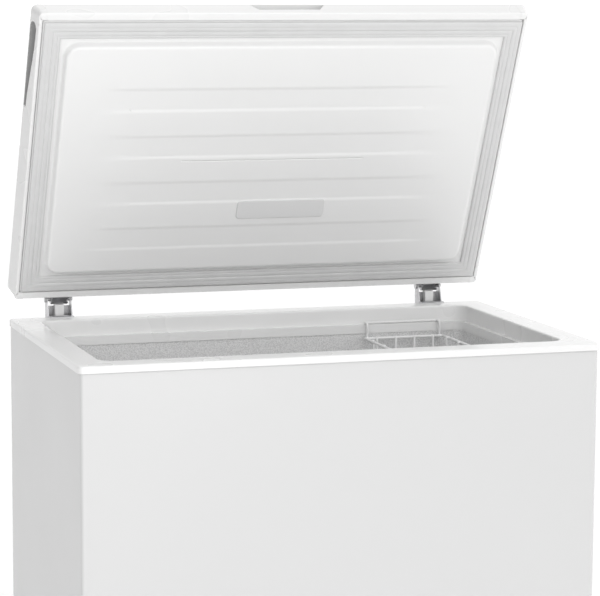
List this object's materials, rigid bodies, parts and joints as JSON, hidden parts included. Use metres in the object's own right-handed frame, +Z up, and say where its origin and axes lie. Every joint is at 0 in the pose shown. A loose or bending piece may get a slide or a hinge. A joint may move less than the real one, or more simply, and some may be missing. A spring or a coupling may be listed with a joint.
{
  "type": "chest freezer",
  "caption": "White chest freezer with a hinged insulated lid held open, a wire basket hanging on the rim's ledge, and its compressor bay at the right end.",
  "frame": {"origin": "on the floor, under the middle of the cabinet's rim, which is within 9 mm of the middle of the whole freezer's footprint", "axes": "+X to the right as seen from the front, +Y to the rear, where the lid is hinged, and +Z up"},
  "size_m": [1, 0.6594, 1.4262],
  "materials": {
    "painted_white": "semi-gloss",
    "galvanised": "spangled zinc",
    "white_plastic": "satin",
    "white_liner": "satin",
    "embossed_aluminium": "stucco embossed",
    "aluminium_tube": "drawn",
    "copper": "drawn copper",
    "foam": "rigid foam",
    "grey_seal": "satin",
    "black_rubber": "matte",
    "black_plastic": "matte",
    "black_paint": "semi-gloss",
    "zinc_steel": "zinc plated",
    "spring_steel": "oiled",
    "circuit_board": "matte",
    "lamp_diffuser": "frosted",
    "green_lens": "clear tinted",
    "coated_wire": "satin plastic coating on steel wire"
  },
  "bodies": {
    "cabinet": {"base_tray": "galvanised", "cabinet_wrap": "painted_white", "capillary_tube": "copper", "compressor": "black_paint", "compressor_bolts": "zinc_steel", "compressor_cover": "galvanised", "compressor_grommets": "black_rubber", "compressor_plate": "galvanised", "condenser_tube": "copper", "control_bezel": "white_plastic", "cord_gland": "black_rubber", "cover_screws": "zinc_steel", "discharge_pipe": "copper", "drain_tube": "white_plastic", "evaporator_tube": "aluminium_tube", "feet": "black_rubber", "filter_drier": "copper", "front_grille": "white_plastic", "hinge_base_left": "zinc_steel", "hinge_base_right": "zinc_steel", "hinge_base_screws": "zinc_steel", "hinge_pins": "zinc_steel", "hinge_springs": "spring_steel", "indicator_lenses": "green_lens", "inner_liner": "embossed_aluminium", "insulation_foam": "foam", "liquid_pipe": "copper", "rear_panel": "galvanised", "sensor_tube": "copper", "start_relay": "black_plastic", "suction_pipe": "copper", "thermostat": "black_plastic", "top_frame": "white_plastic"},
    "lid": {"hinge_arm_left": "zinc_steel", "hinge_arm_right": "zinc_steel", "hinge_arm_screws": "zinc_steel", "lamp_board": "circuit_board", "lamp_housing": "white_plastic", "lamp_lens": "lamp_diffuser", "lid_corner_caps": "white_plastic", "lid_foam": "foam", "lid_front_rail": "white_plastic", "lid_gasket": "grey_seal", "lid_left_rail": "white_plastic", "lid_liner": "white_liner", "lid_rear_rail": "white_plastic", "lid_right_rail": "white_plastic", "lid_skin": "painted_white", "tilt_switch": "black_plastic"},
    "hinge_plungers": {"hinge_plunger_left": "white_plastic", "hinge_plunger_right": "white_plastic"},
    "basket": {"basket_cross_wires": "coated_wire", "basket_frame": "coated_wire", "basket_hangers": "coated_wire", "basket_hoop": "coated_wire", "basket_long_wires": "coated_wire"},
    "thermostat_dial": {"thermostat_knob": "white_plastic", "thermostat_spindle": "white_plastic"},
    "drain_plug_body": {"drain_plug": "grey_seal"},
    "drain_cap_body": {"drain_cap": "white_plastic"}
  },
  "joints": [
    {"name": "lid_hinge", "type": "hinge", "parent": "cabinet", "child": "lid", "pos_m": [0, 0.33, 0.836], "axis": [-1, 0, 0], "range_deg": [-65.5, 15]},
    {"name": "hinge_plunger_slide", "type": "slide", "parent": "cabinet", "child": "hinge_plungers", "axis": [0, 0, 1], "range_m": [-0.00401, 0.00093], "deforming": ["hinge_springs"]},
    {"name": "basket_slide", "type": "slide", "parent": "cabinet", "child": "basket", "axis": [1, 0, 0], "range_m": [-0.631, 0.015]},
    {"name": "thermostat_turn", "type": "hinge", "parent": "cabinet", "child": "thermostat_dial", "pos_m": [0.434, -0.309, 0.205], "axis": [0, -1, 0], "range_deg": [0, 270]},
    {"name": "drain_plug_pull", "type": "slide", "parent": "cabinet", "child": "drain_plug_body", "axis": [0, 0, 1], "range_m": [0, 0.05]},
    {"name": "drain_cap_turn", "type": "hinge", "parent": "cabinet", "child": "drain_cap_body", "pos_m": [-0.38, -0.31, 0.044], "axis": [0, -1, 0], "range_deg": [0, 90]}
  ],
  "couplings": [
    {"joint": "hinge_plunger_slide", "follows": "lid_hinge", "m_per_rad": 0.0035}
  ]
}
